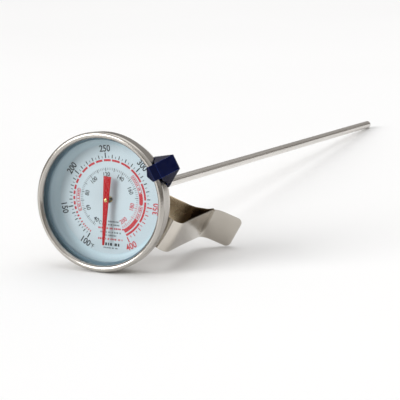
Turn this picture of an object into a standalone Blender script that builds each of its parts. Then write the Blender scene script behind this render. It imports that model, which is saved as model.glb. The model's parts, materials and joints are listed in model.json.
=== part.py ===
"""Dial thermometer for hot sugar and frying oil, lying on a table.

A 2 inch dial on a 12 inch probe, with a sprung pan clip on the probe and a
set-point marker on the rim.

Every piece is modelled in the instrument's own axes, in which the dial's axis
is Z and Z grows from the dial towards the probe's tip, X points to 3 o'clock
and Y to 6 o'clock. The printed face of the dial is the plane Z = 0. One empty
then lays the instrument down on its rim, its tip and its clip.
"""

import math

import bmesh
import bpy
from mathutils import Matrix, Vector

MM = 0.001
GAP = 0.3 * MM                      # clearance between neighbouring pieces
RUNNING_GAP = 0.1 * MM              # radial clearance of the pointer's shaft

# Driving dimensions
BEZEL_RADIUS = 24.3 * MM
BEAD_RADIUS = 1.1 * MM              # rolled bead at the front of the bezel
BEAD_FRONT = -8.4 * MM
CASE_RADIUS = 22.7 * MM
CASE_BACK = 2.0 * MM
SHEET = 0.5 * MM                    # stainless sheet of case, bezel and clip
DIAL_THICKNESS = 0.4 * MM
DIAL_RADIUS = 21.9 * MM
STEM_RADIUS = 1.8 * MM
STEM_WALL = 0.35 * MM
STEM_LENGTH = 305.0 * MM            # from the case's back to the tip
TIP_LENGTH = 3.4 * MM
TIP_SHOULDER = 0.3 * MM             # the tip's full-width land before its cone
SPIGOT_LENGTH = 5.0 * MM            # of the tip, inside the tube
COIL_LENGTH = 46.0 * MM
COIL_TURNS = 20
COIL_TO_TIP = 10.4 * MM             # from the coil's end to the probe's tip
SHAFT_RADIUS = 0.5 * MM
POINTER_PLANE = -2.9 * MM
POINTER_ANGLE = 182.6               # degrees clockwise from 12 o'clock
CLIP_ANGLE = 118.2                  # the same way: the tail just clears the table
MARKER_ANGLE = 60.0
CLIP_WIDTH = 11.9 * MM
CLIP_APEX = (-11.0 * MM, 4.3 * MM)  # the clip's sprung bend, as (outwards, z)

# Places that follow from them
BEAD_CENTRE = (BEZEL_RADIUS - BEAD_RADIUS, BEAD_FRONT + BEAD_RADIUS)
OPENING_RADIUS = BEZEL_RADIUS - 2 * BEAD_RADIUS
CRIMP_RADIUS = 23.05 * MM
STEM_TIP = CASE_BACK + STEM_LENGTH
STEM_SHOULDER = STEM_TIP - TIP_LENGTH
STEM_BORE = STEM_RADIUS - STEM_WALL
BUSH_RADIUS = STEM_BORE - GAP
LENS_FRONT = BEAD_FRONT + 1.5 * MM
LENS_BACK = LENS_FRONT + 1.6 * MM
LENS_RADIUS = 22.9 * MM
FLANGE_FRONT = LENS_BACK + 1.4 * MM
FLANGE_BACK = FLANGE_FRONT + SHEET
FLANGE_RADIUS = 23.4 * MM
CRIMP_BACK = FLANGE_BACK + 0.8 * MM
CRIMP_ROUND = 1.0 * MM
COIL_END = STEM_TIP - COIL_TO_TIP
COIL_START = COIL_END - COIL_LENGTH

# Finish: colour, roughness, metallic
STEEL_POLISHED = ((0.62, 0.60, 0.57), 0.18, 1.0)
STEEL_BRUSHED = ((0.55, 0.54, 0.51), 0.35, 1.0)
STEEL_PLAIN = ((0.45, 0.45, 0.45), 0.4, 1.0)
BRASS = ((0.72, 0.53, 0.22), 0.3, 1.0)
DIAL_WHITE = ((0.80, 0.86, 0.90), 0.5, 0.0)
POINTER_RED = ((0.75, 0.03, 0.04), 0.4, 0.0)
MARKER_BLUE = ((0.01, 0.015, 0.09), 0.2, 0.0)
RUBBER_BLACK = ((0.03, 0.03, 0.03), 0.7, 0.0)
CLEAR = ((0.9, 0.95, 0.97), 0.05, 0.0)
BIMETAL = ((0.50, 0.42, 0.36), 0.35, 1.0)


# --- helpers ---------------------------------------------------------------

def clear_scene():
    for obj in list(bpy.data.objects):
        bpy.data.objects.remove(obj, do_unlink=True)


def collection(name):
    group = bpy.data.collections.new(name)
    bpy.context.scene.collection.children.link(group)
    return group


def finish_material(name, finish):
    colour, roughness, metallic = finish
    material = bpy.data.materials.new(name)
    material.use_nodes = True
    shader = material.node_tree.nodes["Principled BSDF"]
    shader.inputs["Base Color"].default_value = (*colour, 1.0)
    shader.inputs["Roughness"].default_value = roughness
    shader.inputs["Metallic"].default_value = metallic
    return material


def empty(name, parent=None, matrix=None):
    obj = bpy.data.objects.new(name, None)
    parts.objects.link(obj)
    obj.parent = parent
    if matrix is not None:
        obj.matrix_local = matrix
    return obj


def add(name, mesh, finish, parent, group=None):
    obj = bpy.data.objects.new(name, mesh)
    (group or parts).objects.link(obj)
    obj.parent = parent
    if finish is not None:
        mesh.materials.append(finish_material(name, finish))
    return obj


def smooth(mesh, angle=30):
    mesh.shade_smooth()
    mesh.set_sharp_from_angle(angle=math.radians(angle))


def mesh_from(bm, name):
    mesh = bpy.data.meshes.new(name)
    bm.to_mesh(mesh)
    bm.free()
    return mesh


def turned(name, profile, finish, parent, steps=48, closed=True, group=None):
    """Turn a profile of (radius, z) about Z. Its outer side runs towards -Z."""
    bm = bmesh.new()
    corners = [bm.verts.new((radius, 0.0, z)) for radius, z in profile]
    for start, end in zip(corners, corners[1:]):
        bm.edges.new((start, end))
    if closed:
        bm.edges.new((corners[-1], corners[0]))
    obj = add(name, mesh_from(bm, name), finish, parent, group)
    screw = obj.modifiers.new("turn", "SCREW")
    screw.axis = "Z"
    screw.angle = math.tau
    screw.steps = steps
    screw.render_steps = steps
    screw.use_merge_vertices = True
    screw.merge_threshold = 1e-6
    screw.use_smooth_shade = False
    return obj


def ring(name, inner, outer, front, back, finish, parent, steps=48):
    """A plain turned ring between the planes Z = front and Z = back."""
    profile = [(inner, back), (outer, back), (outer, front), (inner, front)]
    return turned(name, profile, finish, parent, steps)


def arc(centre, radius, start, end, count):
    """Points on an arc in the (radius, z) plane, angles in degrees."""
    points = []
    for index in range(count + 1):
        angle = math.radians(start + (end - start) * index / count)
        points.append((centre[0] + radius * math.cos(angle),
                       centre[1] + radius * math.sin(angle)))
    return points


def filleted(corners, count=6):
    """Round the inner corners of a path of (x, y, fillet radius)."""
    path = [Vector(corners[0][:2])]
    for before, corner, after in zip(corners, corners[1:], corners[2:]):
        point = Vector(corner[:2])
        back = (Vector(before[:2]) - point).normalized()
        ahead = (Vector(after[:2]) - point).normalized()
        half = back.angle(ahead) / 2
        centre = point + (back + ahead).normalized() * corner[2] / math.sin(half)
        start = point + back * corner[2] / math.tan(half) - centre
        sweep = start.angle_signed(point + ahead * corner[2] / math.tan(half) - centre)
        for index in range(count + 1):
            turn = Matrix.Rotation(-sweep * index / count, 2)
            path.append(centre + turn @ start)
    path.append(Vector(corners[-1][:2]))
    return path


def hull(name, points, finish, parent, group=None):
    bm = bmesh.new()
    for point in points:
        bm.verts.new(point)
    result = bmesh.ops.convex_hull(bm, input=bm.verts)
    bmesh.ops.delete(bm, geom=result["geom_unused"], context="VERTS")
    bmesh.ops.recalc_face_normals(bm, faces=bm.faces)
    return add(name, mesh_from(bm, name), finish, parent, group)


def boolean(obj, cutter, operation):
    modifier = obj.modifiers.new(operation.lower(), "BOOLEAN")
    modifier.operation = operation
    modifier.object = cutter
    cutter.hide_render = True
    cutter.display_type = "WIRE"


def spoke(name, parent, angle):
    """Axes on the dial's axis whose X points outwards at a clock angle."""
    turn = Matrix.Rotation(math.radians(angle - 90), 4, "Z")
    return empty(name, parent, turn)


# --- head ------------------------------------------------------------------

def build_case(root):
    """The drawn cup, with its rolled flange and the hole for the probe."""
    corner = 1.3 * MM
    hole = STEM_RADIUS + GAP
    outer_corner = (CASE_RADIUS - corner, CASE_BACK - corner)
    floor = CASE_BACK - SHEET
    profile = [(hole, floor), (hole, CASE_BACK)]
    profile += arc(outer_corner, corner, 90, 0, 4)
    profile += [(CASE_RADIUS, FLANGE_BACK), (FLANGE_RADIUS, FLANGE_BACK),
                (FLANGE_RADIUS, FLANGE_FRONT), (CASE_RADIUS - SHEET, FLANGE_FRONT)]
    profile += arc(outer_corner, corner - SHEET, 0, 90, 4)
    turned("case_cup", profile, STEEL_BRUSHED, root, 60)
    ring("stem_collar", STEM_RADIUS + GAP, 3.0 * MM, CASE_BACK + GAP,
         CASE_BACK + 1.1 * MM, STEEL_PLAIN, root, 32)


def build_bezel(root):
    """The bezel: a rolled bead in front, a skirt, and a crimped rear edge."""
    skirt = BEZEL_RADIUS - 0.6 * MM
    crimp_front = FLANGE_BACK + GAP
    crimp_corner = (BEZEL_RADIUS - CRIMP_ROUND, CRIMP_BACK - CRIMP_ROUND)
    lip = LENS_FRONT - GAP
    profile = [(CRIMP_RADIUS, crimp_front), (CRIMP_RADIUS, CRIMP_BACK)]
    profile += arc(crimp_corner, CRIMP_ROUND, 90, 0, 4)
    profile += arc(BEAD_CENTRE, BEAD_RADIUS, 0, -180, 10)
    profile += [(OPENING_RADIUS + 0.1 * MM, lip), (skirt, lip), (skirt, crimp_front)]
    turned("bezel_ring", profile, STEEL_POLISHED, root, 72)


def build_face(root):
    """The lens, its gasket, the spacer behind it, the dial and its seat."""
    chamfer = 0.2 * MM
    turned("lens", [(0, LENS_BACK), (LENS_RADIUS, LENS_BACK),
                    (LENS_RADIUS, LENS_FRONT + chamfer),
                    (LENS_RADIUS - chamfer, LENS_FRONT), (0, LENS_FRONT)],
           CLEAR, root, 60, closed=False)
    ring("lens_gasket", 22.2 * MM, 23.1 * MM, LENS_BACK + GAP, FLANGE_FRONT - GAP,
         RUBBER_BLACK, root, 60)
    ring("spacer_ring", DIAL_RADIUS - SHEET, DIAL_RADIUS, LENS_BACK + GAP, -GAP,
         STEEL_PLAIN, root, 60)
    ring("dial_plate", 1.15 * MM, DIAL_RADIUS, 0.0, DIAL_THICKNESS, DIAL_WHITE, root, 60)
    ring("dial_seat_ring", 18.0 * MM, 21.4 * MM, DIAL_THICKNESS + GAP,
         CASE_BACK - SHEET - GAP, STEEL_PLAIN, root, 60)


# --- probe -----------------------------------------------------------------

def build_probe(root):
    """The closed tube, its tip, and the parts fixed inside it."""
    tube_front = 1.0 * MM
    point_radius = 0.35 * MM
    point_length = 0.25 * MM
    spigot_front = STEM_SHOULDER - SPIGOT_LENGTH
    ring("stem_tube", STEM_BORE, STEM_RADIUS, tube_front, STEM_SHOULDER - GAP,
         STEEL_BRUSHED, root, 40)
    profile = [(0, STEM_TIP), (point_radius, STEM_TIP - point_length),
               (STEM_RADIUS, STEM_SHOULDER + TIP_SHOULDER), (STEM_RADIUS, STEM_SHOULDER),
               (BUSH_RADIUS, STEM_SHOULDER), (BUSH_RADIUS, spigot_front),
               (0, spigot_front)]
    turned("stem_tip", profile, STEEL_BRUSHED, root, 40, closed=False)

    bush_length = 5.0 * MM
    bushes = {"shaft_bush_front": tube_front + 0.4 * MM,
              "shaft_bush_middle": 120.0 * MM,
              "shaft_bush_rear": COIL_START - 14.0 * MM}
    for name, front in bushes.items():
        ring(name, SHAFT_RADIUS + RUNNING_GAP, BUSH_RADIUS, front, front + bush_length,
             BRASS, root, 24)
    anchor_back = spigot_front - GAP
    profile = [(0, anchor_back), (BUSH_RADIUS, anchor_back),
               (BUSH_RADIUS, COIL_END + GAP), (0, COIL_END + GAP)]
    turned("coil_anchor", profile, STEEL_PLAIN, root, 24, closed=False)


def build_coil(root):
    """The bimetal helix that turns the pointer's shaft."""
    wire = 0.13 * MM
    radius = BUSH_RADIUS - wire
    per_turn = 9
    count = COIL_TURNS * per_turn
    curve = bpy.data.curves.new("coil_path", "CURVE")
    curve.dimensions = "3D"
    curve.bevel_depth = wire
    curve.bevel_resolution = 0
    curve.use_fill_caps = True
    spline = curve.splines.new("POLY")
    spline.points.add(count)
    for index, point in enumerate(spline.points):
        turn = math.tau * index / per_turn
        z = COIL_START + wire + (COIL_LENGTH - 2 * wire) * index / count
        point.co = (radius * math.cos(turn), radius * math.sin(turn), z, 1.0)
    path = bpy.data.objects.new("coil_path", curve)
    parts.objects.link(path)
    bpy.context.view_layer.update()
    evaluated = path.evaluated_get(bpy.context.evaluated_depsgraph_get())
    mesh = bpy.data.meshes.new_from_object(evaluated)
    bpy.data.objects.remove(path)
    bm = bmesh.new()
    bm.from_mesh(mesh)
    bmesh.ops.remove_doubles(bm, verts=bm.verts, dist=1e-6)
    bm.to_mesh(mesh)
    bm.free()
    mesh.materials.clear()
    add("bimetal_coil", mesh, BIMETAL, root)


# --- movement --------------------------------------------------------------

def build_movement(root):
    """The shaft, its collar at the coil, the hub and the pointer."""
    needle = spoke("pointer_axis", root, POINTER_ANGLE)
    plate_thickness = 0.3 * MM
    shaft_front = POINTER_PLANE - 0.7 * MM
    shaft_back = COIL_START - 1.0 * MM
    turned("pointer_shaft", [(0, shaft_back), (SHAFT_RADIUS, shaft_back),
                             (SHAFT_RADIUS, shaft_front), (0, shaft_front)],
           STEEL_PLAIN, needle, 20, closed=False)
    ring("coil_collar", SHAFT_RADIUS + RUNNING_GAP, BUSH_RADIUS, COIL_START - 6.0 * MM,
         COIL_START - GAP, BRASS, needle, 24)

    bore = SHAFT_RADIUS + RUNNING_GAP
    neck = 0.72 * MM
    head = 0.95 * MM
    flange = 1.25 * MM
    plate_front = POINTER_PLANE
    plate_back = POINTER_PLANE + plate_thickness
    boss_back = plate_back + 1.2 * MM
    head_front = plate_front - 0.65 * MM
    chamfer = 0.1 * MM
    profile = [(bore, boss_back), (flange, boss_back),
               (flange, plate_back + GAP), (neck, plate_back + GAP),
               (neck, plate_front - GAP), (head, plate_front - GAP),
               (head, head_front + chamfer), (bore, head_front)]
    turned("pointer_hub", profile, BRASS, needle, 28)

    tip_reach = 15.9 * MM
    tip_width = 0.8 * MM
    tail_reach = 8.4 * MM
    tail_width = 2.9 * MM
    outline = bpy.data.curves.new("pointer", "CURVE")
    outline.dimensions = "2D"
    outline.fill_mode = "BOTH"
    outline.extrude = plate_thickness / 2
    rounded_tip = arc((tip_reach - tip_width / 2, 0), tip_width / 2, -90, 90, 6)
    corners = rounded_tip + [(-tail_reach, tail_width / 2), (-tail_reach, -tail_width / 2)]
    hole = arc((0, 0), neck + GAP - 0.06 * MM, 0, 345, 23)
    for points in (corners, hole):
        spline = outline.splines.new("POLY")
        spline.use_cyclic_u = True
        spline.points.add(len(points) - 1)
        for point, (x, y) in zip(spline.points, points):
            point.co = (x, y, 0.0, 1.0)
    outline.materials.append(finish_material("pointer", POINTER_RED))
    pointer = bpy.data.objects.new("pointer", outline)
    parts.objects.link(pointer)
    pointer.parent = needle
    pointer.location = (0, 0, POINTER_PLANE + plate_thickness / 2)


# --- rim marker ------------------------------------------------------------

def build_marker(root):
    """A moulded finger tab with an arrow, snapped over the bezel's bead."""
    axes = spoke("marker_axis", root, MARKER_ANGLE)
    half_tab = 2.65 * MM
    half_base = 5.8 * MM
    crest = BEAD_FRONT - 1.2 * MM
    arrow_back = LENS_FRONT - GAP - 0.1 * MM
    ridge = (25.4 * MM, BEAD_FRONT + 0.4 * MM)
    outer = (32.6 * MM, BEAD_FRONT + 1.0 * MM)
    base_front = (21.9 * MM, BEAD_FRONT + 7.8 * MM)
    base_back = (22.4 * MM, BEAD_FRONT + 9.3 * MM)
    shoulder = 23.4 * MM
    tip = (20.6 * MM, BEAD_FRONT + 0.5 * MM)

    tab = []
    for side in (-1, 1):
        tab.append((ridge[0], side * half_tab, ridge[1]))
        tab.append((outer[0], side * half_tab, outer[1]))
        tab.append((outer[0] - 0.2 * MM, side * half_tab, outer[1] + 0.9 * MM))
        tab.append((base_back[0], side * half_base, base_back[1]))
        tab.append((base_front[0], side * half_base, base_front[1]))
    marker = hull("rim_marker", tab, MARKER_BLUE, axes)

    arrow = [(tip[0], 0, tip[1]), (tip[0] + 0.2 * MM, 0, arrow_back)]
    for side in (-1, 1):
        arrow.append((shoulder, side * half_tab, crest))
        arrow.append((shoulder - 1.0 * MM, side * half_tab, crest + 0.5 * MM))
        arrow.append((shoulder - 1.0 * MM, side * half_tab, arrow_back))
        arrow.append((ridge[0], side * half_tab, ridge[1]))
        arrow.append((ridge[0], side * half_tab, ridge[1] + 1.5 * MM))
    arrow = hull("marker_arrow", arrow, None, axes, cutters)
    boolean(marker, arrow, "UNION")

    room = BEAD_RADIUS + GAP
    groove_back = base_back[1] + 0.6 * MM
    crimp_room = CRIMP_BACK + GAP
    groove = [(0, groove_back), (CASE_RADIUS + GAP, groove_back),
              (CASE_RADIUS + GAP, crimp_room), (CRIMP_RADIUS + 1.05 * MM, crimp_room),
              (BEZEL_RADIUS + GAP, crimp_room - 0.7 * MM)]
    groove += arc(BEAD_CENTRE, room, 0, -180, 12)
    groove += [(0, BEAD_CENTRE[1])]
    groove = turned("marker_groove", groove, None, root, 120, closed=False, group=cutters)
    boolean(marker, groove, "DIFFERENCE")


# --- pan clip --------------------------------------------------------------

def strip(name, path, finish, parent, round_start=0.0, round_end=0.0):
    """Bend a strip of the clip's width along a path of (outwards, z)."""
    lengths = [0.0]
    for start, end in zip(path, path[1:]):
        lengths.append(lengths[-1] + (end - start).length)
    total = lengths[-1]

    def add_stations(corner_radius, at_start):
        for index in range(1, 6):
            offset = corner_radius * (1 - math.cos(math.radians(18 * index)))
            wanted = offset if at_start else total - offset
            for spot, length in enumerate(lengths[1:], 1):
                if length > wanted + 1e-6:
                    part = (wanted - lengths[spot - 1]) / (length - lengths[spot - 1])
                    if 1e-3 < part < 1 - 1e-3:
                        point = path[spot - 1].lerp(path[spot], part)
                        path.insert(spot, point)
                        lengths.insert(spot, wanted)
                    break

    if round_start:
        add_stations(round_start, True)
    if round_end:
        add_stations(round_end, False)

    def half_width(length):
        half = CLIP_WIDTH / 2
        for corner_radius, distance in ((round_start, length), (round_end, total - length)):
            if corner_radius and distance < corner_radius:
                rest = corner_radius - max(distance, 0.02 * corner_radius)
                half += math.sqrt(corner_radius ** 2 - rest ** 2) - corner_radius
        return half

    bm = bmesh.new()
    rows = []
    for point, length in zip(path, lengths):
        half = half_width(length)
        rows.append([bm.verts.new((point.x, across * half, point.y)) for across in (-1, 1)])
    for low, high in zip(rows, rows[1:]):
        bm.faces.new((low[0], low[1], high[1], high[0]))
    obj = add(name, mesh_from(bm, name), finish, parent)
    shell = obj.modifiers.new("sheet", "SOLIDIFY")
    shell.thickness = SHEET
    shell.offset = 0.0
    return obj


def slot_cutter(name, parent, start, end, half_width, z_low, z_high):
    """A cutter with round ends, from outwards = start to outwards = end."""
    bm = bmesh.new()
    outline = arc((end - half_width, 0), half_width, -90, 90, 8)
    outline += arc((start + half_width, 0), half_width, 90, 270, 8)
    face = bm.faces.new([bm.verts.new((x, y, z_low)) for x, y in outline])
    grown = bmesh.ops.extrude_face_region(bm, geom=[face])
    top = [item for item in grown["geom"] if isinstance(item, bmesh.types.BMVert)]
    bmesh.ops.translate(bm, verts=top, vec=(0, 0, z_high - z_low))
    bmesh.ops.recalc_face_normals(bm, faces=bm.faces)
    return add(name, mesh_from(bm, name), None, parent, cutters)


def build_clip(root):
    """One bent strip: tail, outer leaf and back plate, then the sprung inner leaf."""
    axes = spoke("clip_axis", root, CLIP_ANGLE)
    tail_radius = 2.0 * MM
    corners = [(34.05 * MM, 44.7 * MM, 0),
               (24.45 * MM, 38.7 * MM, 7.0 * MM),
               (25.15 * MM, 19.0 * MM, 30.0 * MM),
               (26.0 * MM, 3.0 * MM, 3.4 * MM),
               (CLIP_APEX[0], CLIP_APEX[1], 1.5 * MM)]
    elbow = (-2.0 * MM, 14.6 * MM)
    rise = (Vector(elbow) - Vector(CLIP_APEX)).normalized()
    bend_end = Vector(CLIP_APEX) + rise * 5.4 * MM
    frame_path = filleted(corners + [(bend_end.x, bend_end.y, 0)])
    frame = strip("clip_frame", frame_path, STEEL_BRUSHED, axes, round_start=tail_radius)
    hole = slot_cutter("frame_hole", axes, -2.3 * MM, 2.3 * MM, 2.3 * MM, 0.0, 8.0 * MM)
    boolean(frame, hole, "DIFFERENCE")

    jaw_start = bend_end + rise * GAP
    jaw_path = filleted([(jaw_start.x, jaw_start.y, 0),
                         (elbow[0], elbow[1], 8.0 * MM),
                         (20.3 * MM, 26.6 * MM, 6.0 * MM),
                         (23.4 * MM, 33.2 * MM, 5.0 * MM),
                         (24.2 * MM, 38.4 * MM, 0)])
    jaw = strip("clip_jaw", jaw_path, STEEL_BRUSHED, axes, round_end=1.5 * MM)
    slot = slot_cutter("jaw_slot", axes, -2.5 * MM, 3.9 * MM, 2.3 * MM, 8.0 * MM, 26.0 * MM)
    boolean(jaw, slot, "DIFFERENCE")


# --- assembly --------------------------------------------------------------

def lay_down(root):
    """Rest the rim and the tip's shoulder on Z = 0, the box centred on the origin."""
    drop = BEZEL_RADIUS - STEM_RADIUS
    run = STEM_SHOULDER + TIP_SHOULDER - (CRIMP_BACK - CRIMP_ROUND)
    slope = math.atan2(drop, run)
    root.matrix_world = Matrix.Rotation(-(math.pi / 2 + slope), 4, "X")
    bpy.context.view_layer.update()
    depsgraph = bpy.context.evaluated_depsgraph_get()
    low = Vector((math.inf,) * 3)
    high = Vector((-math.inf,) * 3)
    for obj in parts.objects:
        if obj.type == "EMPTY":
            continue
        evaluated = obj.evaluated_get(depsgraph)
        mesh = evaluated.to_mesh()
        for vertex in mesh.vertices:
            place = evaluated.matrix_world @ vertex.co
            low = Vector(map(min, low, place))
            high = Vector(map(max, high, place))
        evaluated.to_mesh_clear()
    root.location -= Vector(((low.x + high.x) / 2, (low.y + high.y) / 2, low.z))
    bpy.context.view_layer.update()


clear_scene()
parts = collection("dial_thermometer")
cutters = collection("cutters")
instrument = empty("instrument")
build_case(instrument)
build_bezel(instrument)
build_face(instrument)
build_probe(instrument)
build_coil(instrument)
build_movement(instrument)
build_marker(instrument)
build_clip(instrument)
lay_down(instrument)
for part in parts.objects:
    if part.type == "MESH":
        smooth(part.data)
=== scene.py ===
"""Looks of the dial thermometer: the visible surfaces, the print on the dial,
the materials, and a plain studio.

Every piece is modelled in the instrument's own axes, which are read from the
CAD frame: the dial's axis is Z and grows from the dial towards the probe's
tip, X points to 3 o'clock and Y to 6 o'clock, and the printed face of the dial
is the plane Z = 0. Sizes are in metres, and turned profiles are lists of
(radius, z).
"""

import json
import math
import random

import bmesh
import bpy
from mathutils import Matrix, Vector


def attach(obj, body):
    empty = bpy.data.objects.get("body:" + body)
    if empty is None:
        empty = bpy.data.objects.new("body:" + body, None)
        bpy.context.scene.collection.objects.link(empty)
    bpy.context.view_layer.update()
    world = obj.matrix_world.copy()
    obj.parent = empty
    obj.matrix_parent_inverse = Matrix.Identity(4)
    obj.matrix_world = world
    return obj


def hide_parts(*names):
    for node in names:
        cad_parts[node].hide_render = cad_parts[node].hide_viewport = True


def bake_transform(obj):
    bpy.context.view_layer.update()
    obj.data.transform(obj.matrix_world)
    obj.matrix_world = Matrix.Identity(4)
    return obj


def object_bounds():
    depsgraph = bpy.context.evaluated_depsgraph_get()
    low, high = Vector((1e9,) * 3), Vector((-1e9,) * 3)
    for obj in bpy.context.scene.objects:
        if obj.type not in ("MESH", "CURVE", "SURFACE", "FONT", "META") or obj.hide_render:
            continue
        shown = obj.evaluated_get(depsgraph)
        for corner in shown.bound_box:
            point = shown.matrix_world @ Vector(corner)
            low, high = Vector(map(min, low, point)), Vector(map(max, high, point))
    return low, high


MM = 0.001
MICRON = 0.001 * MM

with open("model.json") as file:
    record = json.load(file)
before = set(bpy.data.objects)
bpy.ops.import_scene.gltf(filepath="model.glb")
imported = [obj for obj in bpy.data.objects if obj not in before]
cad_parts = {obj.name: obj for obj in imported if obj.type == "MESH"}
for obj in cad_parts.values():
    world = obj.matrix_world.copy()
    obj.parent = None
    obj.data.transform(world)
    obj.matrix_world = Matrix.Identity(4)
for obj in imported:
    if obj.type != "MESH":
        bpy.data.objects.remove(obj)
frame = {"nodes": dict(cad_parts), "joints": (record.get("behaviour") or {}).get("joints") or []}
cad_low, cad_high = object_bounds()

POINTER_ANGLE = 182.6               # degrees clockwise from 12

# Camera: where it stands and what it sees
VIEW_SIDE = 23.22                   # degrees to the right of straight ahead
VIEW_ABOVE = 12.69                  # degrees above the horizon
VIEW_DISTANCE = 0.5400              # to the dial, along the line of sight
VIEW_RIGHT = 0.0315                 # the line of sight passes the dial this far right
VIEW_BELOW = 0.0002                 # and this far below its centre
LENS_LENGTH = 139.7                 # in the camera's millimetres, as is the sensor
SENSOR_WIDTH = 36.0


# --- places from the frame ---------------------------------------------------

def joint(name):
    return next(entry for entry in frame["joints"] if entry["name"] == name)


def instrument_axes():
    """The instrument's axes, from the pointer's hinge and the dial's front."""
    axis = Vector(joint("pointer_turn")["axis"]).normalized()
    on_axis = Vector(joint("pointer_turn")["pos_m"])
    right = Vector((1, 0, 0))
    down = axis.cross(right)
    dial = frame["nodes"]["dial_plate"].data.vertices
    front = min((vertex.co - on_axis).dot(axis) for vertex in dial)
    axes = Matrix((right, down, axis)).transposed().to_4x4()
    axes.translation = on_axis + axis * front
    return axes


INSTRUMENT = instrument_axes()
TO_INSTRUMENT = INSTRUMENT.inverted()


def extent(node):
    """Inner radius, outer radius, front and back of a turned CAD node."""
    points = [TO_INSTRUMENT @ vertex.co for vertex in frame["nodes"][node].data.vertices]
    radii = [point.xy.length for point in points]
    depths = [point.z for point in points]
    return min(radii), max(radii), min(depths), max(depths)


def turn(angle):
    """Rotation about the dial's axis, in degrees clockwise as the dial is read."""
    return Matrix.Rotation(math.radians(angle), 4, "Z")


def clip_axes():
    """The clip's axes: X outwards, Y across the strip, from its hinge."""
    across = -(TO_INSTRUMENT.to_3x3() @ Vector(joint("jaw_flex")["axis"])).normalized()
    outwards = across.cross(Vector((0, 0, 1)))
    return Matrix((outwards, across, Vector((0, 0, 1)))).transposed().to_4x4()


# --- materials ---------------------------------------------------------------

class Finish:
    """A Principled material and the procedural textures that feed it."""

    def __init__(self, name, colour, roughness, metallic=0.0, anchor=None, **numbers):
        self.anchor = anchor
        self.material = bpy.data.materials.new(name)
        self.material.use_nodes = True
        self.nodes = self.material.node_tree.nodes
        self.links = self.material.node_tree.links
        self.shader = self.nodes["Principled BSDF"]
        self.normal = None
        sockets = {"Base Color": (*colour, 1.0), "Roughness": roughness, "Metallic": metallic}
        for label, value in numbers.items():
            sockets[label.replace("_", " ")] = value
        for label, value in sockets.items():
            self.shader.inputs[label].default_value = value

    def node(self, kind, inputs=(), **settings):
        """Add a node. Inputs are pairs of a socket's name or number and its feed."""
        made = self.nodes.new(kind)
        for key, value in settings.items():
            setattr(made, key, value)
        for label, feed in inputs:
            if isinstance(feed, bpy.types.NodeSocket):
                self.links.new(feed, made.inputs[label])
            else:
                made.inputs[label].default_value = feed
        return made

    def place(self):
        """Coordinates in the object's own axes, or the ones its mesh has stored."""
        if self.anchor:
            return self.node("ShaderNodeAttribute", attribute_name=self.anchor).outputs["Vector"]
        return self.node("ShaderNodeTexCoord").outputs["Object"]

    def turned_place(self, slow=0.002):
        """Coordinates (radius, slow angle, z), for marks that run round the axis."""
        parts = self.node("ShaderNodeSeparateXYZ", [(0, self.place())])
        flat = self.node("ShaderNodeCombineXYZ", [(0, parts.outputs[0]), (1, parts.outputs[1])])
        radius = self.node("ShaderNodeVectorMath", [(0, flat.outputs[0])], operation="LENGTH")
        angle = self.node("ShaderNodeMath", [(0, parts.outputs[1]), (1, parts.outputs[0])],
                          operation="ARCTAN2")
        slowed = self.node("ShaderNodeMath", [(0, angle.outputs[0]), (1, slow)],
                           operation="MULTIPLY")
        return self.node("ShaderNodeCombineXYZ", [(0, radius.outputs["Value"]),
                                                  (1, slowed.outputs[0]),
                                                  (2, parts.outputs[2])]).outputs[0]

    def grain(self, scale, stretch=(1, 1, 1), detail=3.0, place=None):
        """Noise of so many cells a metre, stretched along the place's axes."""
        mapped = self.node("ShaderNodeVectorMath", [(0, place or self.place()), (1, stretch)],
                           operation="MULTIPLY")
        noise = self.node("ShaderNodeTexNoise", [("Vector", mapped.outputs[0]),
                                                 ("Scale", scale), ("Detail", detail)])
        return noise.outputs["Fac"]

    def spread(self, factor, low, high, start=0.3, end=0.7):
        ranged = self.node("ShaderNodeMapRange", [("Value", factor), ("From Min", start),
                                                  ("From Max", end), ("To Min", low),
                                                  ("To Max", high)])
        return ranged.outputs[0]

    def along(self, axis, start, end):
        """0 to 1 between two places on one of the object's axes, softly."""
        parts = self.node("ShaderNodeSeparateXYZ", [(0, self.place())])
        ranged = self.node("ShaderNodeMapRange", [("Value", parts.outputs[axis]),
                                                  ("From Min", start), ("From Max", end)],
                           interpolation_type="SMOOTHSTEP")
        return ranged.outputs[0]

    def vary_roughness(self, factor, low, high):
        self.links.new(self.spread(factor, low, high), self.shader.inputs["Roughness"])

    def vary_colour(self, factor, first, second, start=0.3, end=0.7):
        ramp = self.node("ShaderNodeValToRGB", [(0, factor)])
        ramp.color_ramp.elements[0].position = start
        ramp.color_ramp.elements[1].position = end
        ramp.color_ramp.elements[0].color = (*first, 1.0)
        ramp.color_ramp.elements[1].color = (*second, 1.0)
        self.links.new(ramp.outputs[0], self.shader.inputs["Base Color"])

    def bump(self, height, painted_shade, strength=1.0):
        """Relief of the given depth in metres, on top of any relief before it."""
        inputs = [("Height", height), ("Distance", painted_shade), ("Strength", strength)]
        if self.normal is not None:
            inputs.append(("Normal", self.normal))
        self.normal = self.node("ShaderNodeBump", inputs).outputs[0]
        self.links.new(self.normal, self.shader.inputs["Normal"])


def polished_steel():
    """Rolled and buffed sheet: fine marks round the rim and a few soft smears."""
    finish = Finish("bezel_polished_steel", (0.46, 0.435, 0.40), 0.2, 1.0)
    marks = finish.grain(5200, detail=2.0, place=finish.turned_place())
    smears = finish.grain(160, detail=4.0)
    finish.vary_colour(smears, (0.44, 0.415, 0.38), (0.48, 0.455, 0.42))
    finish.vary_roughness(smears, 0.17, 0.26)
    finish.bump(marks, 1.2 * MICRON)
    return finish.material


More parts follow.
